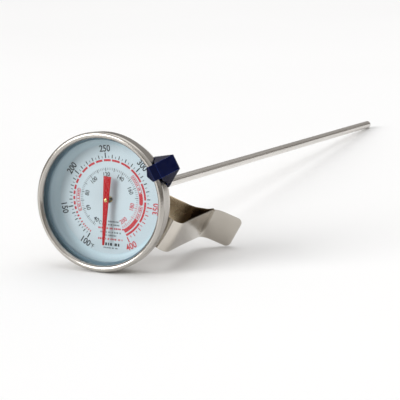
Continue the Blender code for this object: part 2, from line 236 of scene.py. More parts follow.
def spun_steel():
    """Drawn sheet with turning marks round the axis."""
    finish = Finish("case_spun_steel", (0.66, 0.63, 0.58), 0.38, 1.0)
    marks = finish.grain(3800, detail=4.0, place=finish.turned_place())
    smears = finish.grain(120, detail=4.0)
    finish.vary_colour(smears, (0.63, 0.60, 0.55), (0.69, 0.66, 0.61))
    finish.vary_roughness(marks, 0.32, 0.46)
    finish.bump(marks, 3 * MICRON)
    return finish.material


def drawn_steel():
    """Drawn tube: faint lines along its length, duller in places."""
    finish = Finish("stem_drawn_steel", (0.73, 0.70, 0.66), 0.25, 1.0)
    lines = finish.grain(3000, stretch=(1, 1, 0.01), detail=3.0)
    wear = finish.grain(90, stretch=(1, 1, 0.4), detail=4.0)
    finish.vary_colour(wear, (0.70, 0.67, 0.63), (0.76, 0.73, 0.69))
    finish.vary_roughness(lines, 0.20, 0.33)
    finish.bump(lines, 2.5 * MICRON)
    return finish.material


ALONG_STRIP = (0.02, 1, 0.02)       # stretches the rolling's lines along the strip


def bright_steel():
    """Rolled strip, with the rolling's lines along it."""
    finish = Finish("clip_bright_steel", (0.60, 0.56, 0.50), 0.2, 1.0)
    lines = finish.grain(2600, stretch=ALONG_STRIP, detail=3.0)
    smears = finish.grain(110, detail=4.0)
    finish.vary_colour(smears, (0.60, 0.56, 0.50), (0.65, 0.61, 0.55))
    finish.vary_roughness(smears, 0.16, 0.27)
    finish.bump(lines, 1.8 * MICRON)
    return finish.material


STRIP_PLACE = "strip_place"         # the mesh attribute that store_place writes


def tinted_steel():
    """The sprung leaf, with a painted reflection: brown, near black past its bend towards the
    neck. It stands for the dark surroundings that the leaf mirrors."""
    finish = Finish("clip_painted_reflection_steel", (0.5, 0.4, 0.28), 0.2, 1.0, anchor=STRIP_PLACE)
    lines = finish.grain(2600, stretch=ALONG_STRIP, detail=3.0)
    reflection_start = 23.7 * MM
    reflection_end = 26.0 * MM
    # Painted reflection: the colour runs from brown to near black past the bend, for the dark
    # surroundings that the leaf mirrors.
    painted_reflection = finish.along("Z", reflection_start, reflection_end)
    finish.vary_colour(painted_reflection, (0.82, 0.69, 0.50), (0.15, 0.105, 0.06), 0.0, 1.0)
    finish.vary_roughness(finish.grain(110, detail=4.0), 0.20, 0.31)
    finish.bump(lines, 1.8 * MICRON)
    return finish.material


def plain_metal(name, first, second, low, high):
    """A machined or stamped part inside: mottled tone and fine relief."""
    finish = Finish(name, first, low, 1.0)
    mottle = finish.grain(700, detail=4.0)
    finish.vary_colour(mottle, first, second)
    finish.vary_roughness(mottle, low, high)
    finish.bump(finish.grain(9000, detail=2.0), 4 * MICRON)
    return finish.material


def dial_paint():
    """Pale blue-grey satin enamel with a faint orange-peel."""
    finish = Finish("dial_enamel", (0.56, 0.60, 0.63), 0.42)
    mottle = finish.grain(70, detail=3.0)
    finish.vary_colour(mottle, (0.545, 0.59, 0.62), (0.575, 0.61, 0.64))
    finish.vary_roughness(finish.grain(900, detail=2.0), 0.36, 0.48)
    finish.bump(finish.grain(1800, detail=1.0), 4 * MICRON)
    return finish.material


def wall_paint():
    """The blue-grey paint on the wall round the dial, with painted shade that darkens it towards
    the front, under the rim.
    """
    finish = Finish("wall_enamel_painted_shade", (0.50, 0.58, 0.62), 0.5)
    shade_front = -5.6 * MM
    shade_back = -2.4 * MM
    # Painted shade: darker towards the front of the wall, where the rim's shadow falls.
    painted_shade = finish.along("Z", shade_front, shade_back)
    finish.vary_colour(painted_shade, (0.13, 0.20, 0.25), (0.52, 0.60, 0.64), 0.0, 1.0)
    finish.vary_roughness(finish.grain(900, detail=2.0), 0.45, 0.58)
    finish.bump(finish.grain(1800, detail=1.0), 1.5 * MICRON)
    return finish.material


def ink(name, colour, worn):
    """Printed ink, a little uneven where it is thin."""
    finish = Finish(name, colour, 0.5)
    finish.vary_colour(finish.grain(2500, detail=3.0), colour, worn, 0.45, 0.75)
    finish.vary_roughness(finish.grain(1500, detail=2.0), 0.42, 0.58)
    finish.bump(finish.grain(5000, detail=2.0), 2 * MICRON)
    return finish.material


def needle_paint():
    finish = Finish("pointer_red_paint", (0.44, 0.006, 0.01), 0.4,
                    Specular_IOR_Level=0.15)
    finish.vary_colour(finish.grain(350, detail=3.0), (0.42, 0.005, 0.009), (0.46, 0.008, 0.012))
    finish.vary_roughness(finish.grain(1200, detail=2.0), 0.36, 0.48)
    finish.bump(finish.grain(3500, detail=1.0), 3 * MICRON)
    return finish.material


def marker_plastic():
    """Glossy moulded plastic, navy, with a faint moulding grain."""
    finish = Finish("marker_navy_plastic", (0.001, 0.003, 0.02), 0.14,
                    Specular_IOR_Level=0.12)
    finish.vary_colour(finish.grain(220, detail=3.0), (0.0007, 0.002, 0.018),
                       (0.0013, 0.0035, 0.03))
    finish.vary_roughness(finish.grain(900, detail=3.0), 0.10, 0.24)
    finish.bump(finish.grain(1500, detail=2.0), 6 * MICRON)
    return finish.material


def marker_edge_plastic():
    """The same plastic along its thin edges, in a brighter blue: a painted glow and highlight
    for the light that comes through the plastic there.
    """
    finish = Finish("marker_navy_edge_painted_glow", (0.012, 0.04, 0.24), 0.18, Specular_IOR_Level=0.5)
    finish.vary_colour(finish.grain(400, detail=3.0), (0.01, 0.03, 0.20), (0.016, 0.05, 0.29))
    finish.bump(finish.grain(1500, detail=2.0), 6 * MICRON)
    return finish.material


def rubber():
    finish = Finish("gasket_rubber", (0.02, 0.02, 0.02), 0.75)
    finish.vary_colour(finish.grain(900), (0.015, 0.015, 0.015), (0.035, 0.035, 0.035))
    finish.vary_roughness(finish.grain(900), 0.65, 0.85)
    finish.bump(finish.grain(6000), 10 * MICRON)
    return finish.material


def clear_lens():
    """Thin flat glass: clear, with a mirror's share of light by Fresnel.

    The share has a limit, because from within the glass it would rise to all of it.
    """
    index = 1.2
    mirror_limit = 0.16
    finish = Finish("lens_glass", (1, 1, 1), 0.02)
    output = finish.nodes["Material Output"]
    finish.nodes.remove(finish.shader)
    faint = finish.grain(35, detail=2.0)
    roughness = finish.spread(faint, 0.01, 0.05)
    clear = finish.node("ShaderNodeBsdfTransparent", [("Color", (0.96, 0.985, 0.99, 1))])
    gloss = finish.node("ShaderNodeBsdfGlossy", [("Roughness", roughness)])
    fresnel = finish.node("ShaderNodeFresnel", [("IOR", index)])
    mirror = finish.node("ShaderNodeMath", [(0, fresnel.outputs[0]), (1, mirror_limit)],
                         operation="MINIMUM")
    mixed = finish.node("ShaderNodeMixShader", [(0, mirror.outputs[0]),
                                                (1, clear.outputs[0]),
                                                (2, gloss.outputs[0])])
    finish.links.new(mixed.outputs[0], output.inputs["Surface"])
    return finish.material


def floor_paint():
    finish = Finish("floor_pale", (0.93, 0.93, 0.93), 0.6)
    finish.vary_colour(finish.grain(3, detail=2.0), (0.92, 0.92, 0.92), (0.94, 0.94, 0.94))
    return finish.material


# --- modelling helpers -------------------------------------------------------

def link(name, data):
    """A new object in the scene."""
    obj = bpy.data.objects.new(name, data)
    bpy.context.scene.collection.objects.link(obj)
    return obj


def add(name, mesh, material, matrix=None):
    """Link a mesh made in the instrument's axes, or in the given axes of it."""
    obj = link(name, mesh)
    obj.matrix_world = INSTRUMENT @ (matrix or Matrix.Identity(4))
    mesh.materials.clear()
    mesh.materials.append(material)
    return obj


def finish_piece(obj, body, slot, *nodes):
    """Give a piece its body and hide the CAD nodes that it stands for. The slot is not used."""
    if body:
        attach(obj, body)
    if nodes:
        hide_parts(*nodes)
    return obj


def mesh_from(bm, name, sharp=30):
    bmesh.ops.recalc_face_normals(bm, faces=bm.faces)
    mesh = bpy.data.meshes.new(name)
    bm.to_mesh(mesh)
    bm.free()
    mesh.shade_smooth()
    mesh.set_sharp_from_angle(angle=math.radians(sharp))
    return mesh


def evaluated_mesh(obj):
    """A mesh of a text, a curve or an object with modifiers."""
    bpy.context.view_layer.update()
    evaluated = obj.evaluated_get(bpy.context.evaluated_depsgraph_get())
    return bpy.data.meshes.new_from_object(evaluated)


def add_prism(bm, outline, first_z, second_z):
    """A solid between two heights, from an outline of (x, y)."""
    first = [bm.verts.new((x, y, first_z)) for x, y in outline]
    second = [bm.verts.new((x, y, second_z)) for x, y in outline]
    bm.faces.new(first)
    bm.faces.new(second[::-1])
    for index in range(len(outline)):
        after = (index + 1) % len(outline)
        bm.faces.new((first[index], first[after], second[after], second[index]))


def arc(centre, radius, start, end, count):
    """Points on an arc round a centre, angles in degrees."""
    points = []
    for index in range(count + 1):
        angle = math.radians(start + (end - start) * index / count)
        points.append((centre[0] + radius * math.cos(angle),
                       centre[1] + radius * math.sin(angle)))
    return points


def turned(name, profile, steps=192, closed=True, sharp=30):
    """A mesh turned about Z from a profile of (radius, z).

    An open profile starts and ends on the axis.
    """
    bm = bmesh.new()
    rings = []
    for radius, z in profile:
        if radius < 1e-7:
            rings.append([bm.verts.new((0, 0, z))])
            continue
        ring = []
        for step in range(steps):
            angle = math.tau * step / steps
            ring.append(bm.verts.new((radius * math.cos(angle), radius * math.sin(angle), z)))
        rings.append(ring)
    pairs = list(zip(rings, rings[1:]))
    if closed:
        pairs.append((rings[-1], rings[0]))
    for first, second in pairs:
        for step in range(steps):
            after = (step + 1) % steps
            corners = [first[step % len(first)], first[after % len(first)],
                       second[after % len(second)], second[step % len(second)]]
            corners = list(dict.fromkeys(corners))
            if len(corners) > 2:
                bm.faces.new(corners)
    return mesh_from(bm, name, sharp)


def rounded_ring(inner, outer, front, back, radius, count=4):
    """The profile of a ring whose four corners are rounded."""
    corners = ((inner + radius, back - radius, 180), (outer - radius, back - radius, 90),
               (outer - radius, front + radius, 0), (inner + radius, front + radius, -90))
    profile = []
    for across, z, start in corners:
        profile += arc((across, z), radius, start, start - 90, count)
    return profile


# --- head --------------------------------------------------------------------

def build_bezel(material):
    """Rolled bead, a small step, the skirt and its crimp over the case's flange."""
    opening, outer, front, back = extent("bezel_ring")
    case_radius = extent("case_cup")[1]
    lens_front = extent("lens")[2]
    bead = (outer - opening) / 2
    skirt = outer - 0.15 * MM
    round_over = 0.9 * MM
    wall = 0.45 * MM
    profile = [(case_radius, back - wall), (case_radius - 0.3 * MM, back - 0.1 * MM),
               (case_radius - 0.1 * MM, back)]
    profile += arc((skirt - round_over, back - round_over), round_over, 90, 0, 10)
    profile += [(skirt, front + 2 * bead + 0.1 * MM), (outer - 0.12 * MM, front + 1.6 * bead)]
    profile += arc((outer - bead, front + bead), bead, 10, -180, 40)
    profile += [(opening + 0.05 * MM, lens_front - 0.05 * MM),
                (skirt - wall, lens_front - 0.05 * MM), (skirt - wall, back - wall)]
    obj = add("bezel_rim", turned("bezel_rim", profile, 256), material)
    return finish_piece(obj, "head", "bezel_steel", "bezel_ring")


def build_case(material):
    """The drawn cup with its flange, a soft back corner and the probe's hole."""
    hole, flange, front, back = extent("case_cup")
    radius = extent("bezel_ring")[1] - 1.65 * MM
    corner = 1.3 * MM
    sheet = 0.5 * MM
    lip = front + sheet
    boss = 5.2 * MM
    centre = (radius - corner, back - corner)
    profile = [(hole, back - sheet), (hole, back - 0.1 * MM), (hole + 0.1 * MM, back)]
    profile += [(boss, back), (boss + 0.35 * MM, back - 0.15 * MM)]
    profile += [(radius - 3.2 * MM, back - 0.15 * MM), (radius - 2.8 * MM, back)]
    profile += arc(centre, corner, 90, 0, 12)
    profile += [(radius, lip), (flange, lip), (flange, front), (radius - sheet, front)]
    profile += arc(centre, corner - sheet, 0, 90, 12)
    obj = add("case_shell", turned("case_shell", profile, 256), material)
    return finish_piece(obj, "head", "case_steel", "case_cup")


def build_collar(material):
    """The solder fillet that holds the probe to the case's back."""
    outer, front, back = extent("stem_collar")[1:]
    tube = extent("stem_tube")[1]
    foot = extent("case_cup")[3] - 0.05 * MM
    rise = back - foot
    bore = tube - 0.1 * MM
    top = tube + 0.12 * MM
    edge = 0.05 * MM
    steps = 10
    profile = [(bore, foot), (bore, back), (top, back)]
    for index in range(1, steps + 1):
        part = index / steps
        profile.append((top + (outer - top) * part, foot + rise * (1 - part) ** 2 + edge))
    profile.append((outer, foot))
    obj = add("stem_fillet", turned("stem_fillet", profile, 96), material)
    return finish_piece(obj, "head", "case_steel", "stem_collar")


def build_face(dial_material, wall_material, lens_material):
    """The lens, the wall behind it and the dial."""
    radius, front, back = extent("lens")[1:]
    chamfer = 0.2 * MM
    profile = [(0, back), (radius - chamfer, back), (radius, back - chamfer),
               (radius, front + chamfer), (radius - chamfer, front), (0, front)]
    lens = add("lens_pane", turned("lens_pane", profile, 192, closed=False), lens_material)
    finish_piece(lens, "head", "lens", "lens")

    inner, outer, front = extent("spacer_ring")[:3]
    cove = 2.2 * MM
    foot = -0.02 * MM
    lip = front - 0.25 * MM
    rim = extent("lens_gasket")[1]
    profile = [(outer, foot), (outer, lip + 0.2 * MM), (rim, lip + 0.2 * MM), (rim, lip),
               (inner, lip)]
    profile += arc((inner - cove, foot - cove), cove, 0, 90, 16)
    wall = turned("dial_wall", profile, 192)
    finish_piece(add("dial_wall", wall, wall_material), "head", "inner_steel", "spacer_ring")

    hole, outer, front, back = extent("dial_plate")
    plate = turned("dial_face", rounded_ring(hole, outer, front, back, 0.06 * MM, 3), 192)
    finish_piece(add("dial_face", plate, dial_material), "head", "dial", "dial_plate")


# --- print on the dial -------------------------------------------------------

INK_FRONT = -0.03 * MM
INK_BACK = 0.01 * MM
TICK_RING = 14.5 * MM               # inner ends of the Fahrenheit ticks
SCALE_TOP = 250                     # the Fahrenheit reading near 12 o'clock


def scale_angle(fahrenheit):
    """The clock angle of a temperature: the scale opens a little as it rises."""
    hundreds = (fahrenheit - SCALE_TOP) / 100
    return -7.2 + 100.1 * hundreds + 3.4 * hundreds ** 2


def to_fahrenheit(celsius):
    return 32 + 1.8 * celsius


class Print:
    """Flat shapes of one ink, gathered in one mesh."""

    def __init__(self, name):
        self.name = name
        self.bm = bmesh.new()

    def prism(self, outline):
        """A film of ink from an outline of (x, y) on the dial."""
        add_prism(self.bm, outline, INK_FRONT, INK_BACK)

    def tick(self, angle, inner, outer, width):
        """A straight mark along the radius."""
        turned_by = turn(angle)
        corners = ((-width, -inner), (width, -inner), (width, -outer), (-width, -outer))
        spots = [turned_by @ Vector((x if abs(x) < width else x / 2, y, 0)) for x, y in corners]
        self.prism([(spot.x, spot.y) for spot in spots])

    def band(self, start, end, inner, outer, round_end=False):
        """A stretch of a ring between two clock angles, its far end square or round."""
        half = (outer - inner) / 2
        middle = (outer + inner) / 2
        last = end - (math.degrees(half / middle) if round_end else 0)
        steps = max(2, int((last - start) / 1.5))
        outline = arc((0, 0), outer, start - 90, last - 90, steps)
        if round_end:
            outline += arc(self.spot(middle, last), half, last - 90, last + 90, 8)[1:-1]
        outline += arc((0, 0), inner, last - 90, start - 90, steps)
        self.prism(outline)

    def spot(self, radius, angle):
        """The place on the dial at a radius and a clock angle."""
        bearing = math.radians(angle - 90)
        return radius * math.cos(bearing), radius * math.sin(bearing)

    def frame(self, start, end, inner, outer, border, round_end=False):
        """The outline of a band."""
        half = (outer - inner) / 2
        middle = (outer + inner) / 2
        last = end - (math.degrees(half / middle) if round_end else 0)
        self.band(start, last, inner, inner + border)
        self.band(start, last, outer - border, outer)
        side = math.degrees(border / middle)
        self.band(start, start + side, inner, outer)
        if round_end:
            centre = self.spot(middle, last)
            self.prism(arc(centre, half, last - 90, last + 90, 10)
                       + arc(centre, half - border, last + 90, last - 90, 10))

    def arc_blocks(self, radius, start, end, height, seed):
        """Letter-sized blocks along an arc, standing for a curved line of print."""
        chance = random.Random(seed)
        angle = start
        while angle < end:
            width = math.degrees(height * chance.uniform(0.45, 0.95) / radius)
            self.band(angle, angle + width, radius - height / 2, radius + height / 2)
            space = chance.choice((0.35, 0.35, 0.35, 0.35, 1.1))
            angle += width + math.degrees(height * space / radius)

    def letters(self, text, angle, radius, height, upright, weight, stretch=0.88):
        """Numerals centred at a clock angle, their tops outwards or inwards."""
        curve = bpy.data.curves.new("letters", "FONT")
        curve.body = text
        curve.align_x = "CENTER"
        curve.offset = weight
        curve.resolution_u = 4
        obj = link("letters", curve)
        mesh = evaluated_mesh(obj)
        bpy.data.objects.remove(obj)
        size = height / DIGIT_HEIGHT
        flip = Matrix.Rotation(math.pi, 4, "X")
        if not upright:
            flip = Matrix.Rotation(math.pi, 4, "Z") @ flip
        shrink = Matrix.Diagonal((size * stretch, size, size, 1))
        centre = Matrix.Translation((0, -DIGIT_HEIGHT / 2, 0))
        place = turn(angle) @ Matrix.Translation((0, -radius, 0)) @ flip @ shrink @ centre
        part = bmesh.new()
        part.from_mesh(mesh)
        bmesh.ops.remove_doubles(part, verts=part.verts, dist=1e-5)
        bmesh.ops.transform(part, matrix=place, verts=part.verts)
        for vertex in part.verts:
            vertex.co.z = INK_BACK
        grown = bmesh.ops.extrude_face_region(part, geom=list(part.faces), use_keep_orig=True)
        for item in grown["geom"]:
            if isinstance(item, bmesh.types.BMVert):
                item.co.z = INK_FRONT
        flat = bpy.data.meshes.new("letters")
        part.to_mesh(flat)
        part.free()
        self.bm.from_mesh(flat)
        bpy.data.meshes.remove(flat)
        bpy.data.meshes.remove(mesh)

    def blocks(self, centre_x, y, width, height, seed):
        """A row of small letter-sized blocks, standing for a line of fine print."""
        chance = random.Random(seed)
        x = centre_x - width / 2
        while x < centre_x + width / 2:
            step = height * chance.uniform(0.45, 0.95)
            self.prism([(x, y - height / 2), (x + step, y - height / 2),
                        (x + step, y + height / 2), (x, y + height / 2)])
            x += step + height * chance.choice((0.35, 0.35, 0.35, 1.0))

    def piece(self, material):
        obj = add(self.name, mesh_from(self.bm, self.name), material)
        return finish_piece(obj, "head", "dial")


DIGIT_HEIGHT = 0.69                 # of the built-in font's figures, at size 1
TICK_STEP = 5
LONG_TICK = 50
RED_FROM = 350                      # Fahrenheit
RED_FROM_CELSIUS = 176

# The dashed ring inside the Fahrenheit ticks: where each dash starts and ends
DASHES = ((100.2, 101.8), (104.2, 105.8), (108.2, 109.8), (112.2, 114), (116.2, 118),
          (121, 123.2), (126.8, 129.2), (132, 134.8), (137.6, 140.6), (144, 149),
          (151.5, 157), (160, 165), (168, 173.5), (176, 183), (186, 193),
          (195.5, 202.5), (206, 217), (220, 231), (233.5, 244.5), (247, 258),
          (260, 272.5), (275, 290.5), (293, 315), (317.5, 341), (343.5, 372),
          (374.5, 400))


def print_fahrenheit(black, grey, red):
    """The outer scale: ticks, numerals and the dashed ring inside them."""
    for reading in range(100, 401, TICK_STEP):
        colour = red if reading >= RED_FROM else black
        angle = scale_angle(reading)
        if reading % LONG_TICK == 0:
            colour.tick(angle, TICK_RING, TICK_RING * 1.133, 0.42 * MM)
        elif reading % 10 == 0:
            colour.tick(angle, TICK_RING, TICK_RING * 1.085, 0.34 * MM)
        else:
            fine = red if reading >= RED_FROM else grey
            fine.tick(angle, TICK_RING, TICK_RING * 1.055, 0.24 * MM)
    for reading in range(100, 401, LONG_TICK):
        colour = red if reading >= RED_FROM else black
        angle = scale_angle(reading)
        colour.letters(str(reading), angle, 17.9 * MM, 2.2 * MM, abs(angle) < 90, 0.02)
    black.letters("°F", scale_angle(100) - 9.4, 18.1 * MM, 1.4 * MM, False, 0.012)
    for start, end in DASHES:
        red.band(scale_angle(start), scale_angle(end), 13.38 * MM, 14.12 * MM)


def print_celsius(black, grey, red):
    """The inner scale: ticks every 2 degrees, numerals every 20."""
    outer = 11.15 * MM
    for reading in range(38, 205, 2):
        angle = scale_angle(to_fahrenheit(reading))
        if reading % 10 == 0:
            colour = red if reading >= RED_FROM_CELSIUS else black
            colour.tick(angle, outer - 1.25 * MM, outer, 0.22 * MM)
        else:
            colour = red if reading >= RED_FROM_CELSIUS else grey
            colour.tick(angle, outer - 0.85 * MM, outer, 0.16 * MM)
    for reading in range(40, 201, 20):
        colour = red if reading >= RED_FROM_CELSIUS else black
        angle = scale_angle(to_fahrenheit(reading))
        colour.letters(str(reading), angle, 8.85 * MM, 1.5 * MM, abs(angle) < 90, 0.015)
    celsius = scale_angle(to_fahrenheit(40)) - 9.5
    black.letters("°C", celsius, 8.95 * MM, 1.2 * MM, False, 0.01)


def print_zones(red):
    """Cooking zones: one on the left, two on the right, partly filled in."""
    inner = 11.5 * MM
    outer = 12.9 * MM
    border = 0.2 * MM
    middle = (inner + outer) / 2
    lettering = 0.6 * MM
    red.frame(scale_angle(139), scale_angle(180), inner, outer, border, round_end=True)
    red.arc_blocks(middle, scale_angle(141), scale_angle(175), lettering, 11)
    for start, change, end, rounded in ((300, 331, 349.2, True), (350.8, 372, 400, False)):
        red.frame(scale_angle(start), scale_angle(change) + 0.5, inner, outer, border)
        red.arc_blocks(middle, scale_angle(start + 2), scale_angle(change - 2), lettering,
                       start)
        red.band(scale_angle(change), scale_angle(end), inner, outer, round_end=rounded)


def print_fine_lines(black, grey, red):
    """Rows of fine print, below the pointer's hub and round the bottom of the dial."""
    rows = ((grey, 7.75, 5.6, 0.55), (grey, 8.9, 6.6, 0.55), (red, 10.2, 9.4, 0.6),
            (grey, 11.6, 7.6, 0.55), (grey, 12.7, 4.6, 0.5), (red, 14.0, 9.4, 0.6),
            (black, 15.8, 6.2, 1.0), (grey, 17.1, 5.0, 0.5))
    for row, (colour, y, width, height) in enumerate(rows):
        colour.blocks(0.6 * MM, y * MM, width * MM, height * MM, row)
    black.arc_blocks(19.9 * MM, 155, 211, 0.75 * MM, 21)
    grey.arc_blocks(19.9 * MM, 127, 141, 0.4 * MM, 22)


def build_print(black_ink, grey_ink, red_ink):
    black = Print("dial_print_black")
    grey = Print("dial_print_grey")
    red = Print("dial_print_red")
    print_fahrenheit(black, grey, red)
    print_celsius(black, grey, red)
    print_zones(red)
    print_fine_lines(black, grey, red)
    black.piece(black_ink)
    grey.piece(grey_ink)
    red.piece(red_ink)


# --- pointer -----------------------------------------------------------------

def build_pointer(paint, brass, steel):
    """The needle, a flat tapering blade, its brass hub and the shaft."""
    axes = turn(POINTER_ANGLE - 90)
    blade = frame["nodes"]["pointer"].data.vertices
    points = [axes.inverted() @ TO_INSTRUMENT @ vertex.co for vertex in blade]
    tip = max(point.x for point in points)
    tail = min(point.x for point in points)
    tail_half = max(point.y for point in points)
    front = min(point.z for point in points)
    back = max(point.z for point in points)
    thickness = back - front
    tip_half = 0.4 * MM
    rivet = 0.55 * MM
    bevel = 0.05 * MM
    dome_foot = front - 0.14 * MM
    dome_steps = 5

    outline = bpy.data.curves.new("needle", "CURVE")
    outline.dimensions = "2D"
    outline.fill_mode = "BOTH"
    outline.extrude = thickness / 2 - bevel
    outline.bevel_depth = bevel
    outline.bevel_resolution = 1
    outline.offset = -bevel
    corners = arc((tip - tip_half, 0), tip_half, -90, 90, 10)
    corners += [(tail, tail_half), (tail, -tail_half)]
    hole = arc((0, 0), rivet, 0, 350, 35)
    for shape in (corners, hole):
        spline = outline.splines.new("POLY")
        spline.use_cyclic_u = True
        spline.points.add(len(shape) - 1)
        for point, (x, y) in zip(spline.points, shape):
            point.co = (x, y, 0.0, 1.0)
    flat = link("needle", outline)
    mesh = evaluated_mesh(flat)
    bpy.data.objects.remove(flat)
    bm = bmesh.new()
    bm.from_mesh(mesh)
    bmesh.ops.remove_doubles(bm, verts=bm.verts, dist=1e-6)
    bmesh.ops.translate(bm, verts=bm.verts, vec=(0, 0, (front + back) / 2))
    needle = add("needle", mesh_from(bm, "needle"), paint, axes)
    finish_piece(needle, "movement", "pointer", "pointer")

    boss = 0.8 * MM
    boss_back = extent("pointer_hub")[3]
    dome = front - 0.28 * MM
    head = rivet + 0.08 * MM
    profile = [(0, boss_back), (boss - 0.1 * MM, boss_back), (boss, boss_back - 0.1 * MM),
               (boss, back + 0.12 * MM), (boss - 0.1 * MM, back + 0.02 * MM),
               (rivet - 0.02 * MM, back + 0.02 * MM), (rivet - 0.02 * MM, front - 0.02 * MM),
               (head, front - 0.04 * MM), (head, dome_foot)]
    for index in range(1, dome_steps + 1):
        angle = math.radians(90 * index / dome_steps)
        profile.append((head * math.cos(angle),
                        dome_foot + (dome - dome_foot) * math.sin(angle)))
    profile[-1] = (0, dome)         # the last turn of the dome is on the axis
    hub = add("needle_hub", turned("needle_hub", profile, 64, closed=False), brass, axes)
    finish_piece(hub, "movement", "brass", "pointer_hub")

    radius = extent("pointer_shaft")[1]
    shaft_back = extent("pointer_shaft")[3]
    chamfer = 0.1 * MM
    profile = [(0, shaft_back), (radius - chamfer, shaft_back), (radius, shaft_back - chamfer),
               (radius, boss_back - 0.1 * MM), (0, boss_back - 0.1 * MM)]
    shaft = add("needle_shaft", turned("needle_shaft", profile, 48, closed=False), steel, axes)
    finish_piece(shaft, "movement", "inner_steel", "pointer_shaft")


# --- probe -------------------------------------------------------------------

def build_probe(material):
    """The tube and its turned point, which meet at a hairline joint."""
    bore, radius, front = extent("stem_tube")[:3]
    plug, tip = extent("stem_tip")[2:]
    shoulder = tip - 3.4 * MM
    joint_line = 0.05 * MM
    profile = [(bore, front), (bore, shoulder - joint_line)]
    profile += [(radius - 0.04 * MM, shoulder - joint_line),
                (radius, shoulder - 2 * joint_line), (radius, front)]
    tube = add("stem_barrel", turned("stem_barrel", profile, 96), material)
    finish_piece(tube, "head", "stem_steel", "stem_tube")

    land = shoulder + 0.3 * MM
    nose = 0.3 * MM
    cone_end = tip - 0.22 * MM
    profile = [(0, tip), (nose * 0.6, tip - 0.05 * MM), (nose, cone_end)]
    profile += [(radius - 0.12 * MM, land + 0.12 * MM), (radius, land - 0.05 * MM),
                (radius, shoulder + joint_line), (radius - 0.04 * MM, shoulder),
                (bore - 0.05 * MM, shoulder), (bore - 0.05 * MM, plug), (0, plug)]
    point = add("stem_point", turned("stem_point", profile, 96, closed=False), material)
    finish_piece(point, "head", "stem_steel", "stem_tip")


# --- rim marker --------------------------------------------------------------

def build_marker(material, painted_glow_material):
    """The moulded tab, with its edges softened."""
    mesh = frame["nodes"]["rim_marker"].data.copy()
    mesh.transform(TO_INSTRUMENT)
    bm = bmesh.new()
    bm.from_mesh(mesh)
    bmesh.ops.remove_doubles(bm, verts=bm.verts, dist=1e-6)
    bmesh.ops.dissolve_limit(bm, angle_limit=math.radians(2), verts=bm.verts, edges=bm.edges)
    marker = add("marker_tab", mesh_from(bm, "marker_tab", 25), material)
    edges = marker.modifiers.new("edges", "BEVEL")
    edges.width = 0.14 * MM
    edges.segments = 2
    edges.limit_method = "ANGLE"
    edges.angle_limit = math.radians(28)
    edges.harden_normals = True
    # The bevelled edges take the second material, a painted glow of brighter blue.
    edges.material = 1
    marker.data.materials.append(painted_glow_material)
    return finish_piece(marker, "marker", "marker", "rim_marker")


# --- pan clip ----------------------------------------------------------------

CLIP_WIDTH = 11.9 * MM
CLIP_SHEET = 0.5 * MM
CLIP_APEX = (-11.0 * MM, 4.3 * MM)
CLIP_ELBOW = (-2.0 * MM, 14.6 * MM)
CLIP_PLATE = (26.0 * MM, 3.0 * MM)
CLIP_SPLIT = 10.0 * MM              # where the two pieces meet, from the apex
CLIP_CUT_Z = 8.0 * MM               # between the probe's hole and its slot

# The strip's path, in (outwards, z, fillet radius): the leaf with the tail from its
# end to the plate, and the sprung leaf from the apex to its lip
LEAF_CORNERS = ((34.05 * MM, 44.7 * MM, 0), (24.45 * MM, 38.7 * MM, 7.0 * MM),
                (25.15 * MM, 19.0 * MM, 30.0 * MM), (*CLIP_PLATE, 3.4 * MM))
SPRING_CORNERS = ((*CLIP_APEX, 1.5 * MM), (*CLIP_ELBOW, 8.0 * MM),
                  (20.3 * MM, 26.6 * MM, 6.0 * MM), (23.4 * MM, 33.2 * MM, 5.0 * MM),
                  (24.2 * MM, 38.4 * MM, 0))
TAIL_CORNER = 2.0 * MM
LIP_CORNER = 1.5 * MM
STATION = 1.0 * MM                  # the longest stretch between two stations


def filleted(corners, count=16):
    """Round the inner corners of a path of (outwards, z, fillet radius)."""
    path = [Vector(corners[0][:2])]
    for before, corner, after in zip(corners, corners[1:], corners[2:]):
        point = Vector(corner[:2])
        back = (Vector(before[:2]) - point).normalized()
        ahead = (Vector(after[:2]) - point).normalized()
        half = back.angle(ahead) / 2
        centre = point + (back + ahead).normalized() * corner[2] / math.sin(half)
        start = point + back * corner[2] / math.tan(half) - centre
        sweep = start.angle_signed(point + ahead * corner[2] / math.tan(half) - centre)
        for index in range(count + 1):
            path.append(centre + Matrix.Rotation(-sweep * index / count, 2) @ start)
    path.append(Vector(corners[-1][:2]))
    return path


def resample(path, spacing):
    """Add points so that no stretch of a path is longer than the spacing."""
    dense = [path[0]]
    for start, end in zip(path, path[1:]):
        pieces = max(1, math.ceil((end - start).length / spacing))
        dense += [start.lerp(end, index / pieces) for index in range(1, pieces + 1)]
    return dense


BLUNT = 0.015                       # how far in the round corners start, of their radius
END_SHARE = 0.55                    # the sheet's share of its thickness at its very end


def lengths_along(path):
    """The length of a path up to each of its points."""
    lengths = [0.0]
    for start, end in zip(path, path[1:]):
        lengths.append(lengths[-1] + (end - start).length)
    return lengths


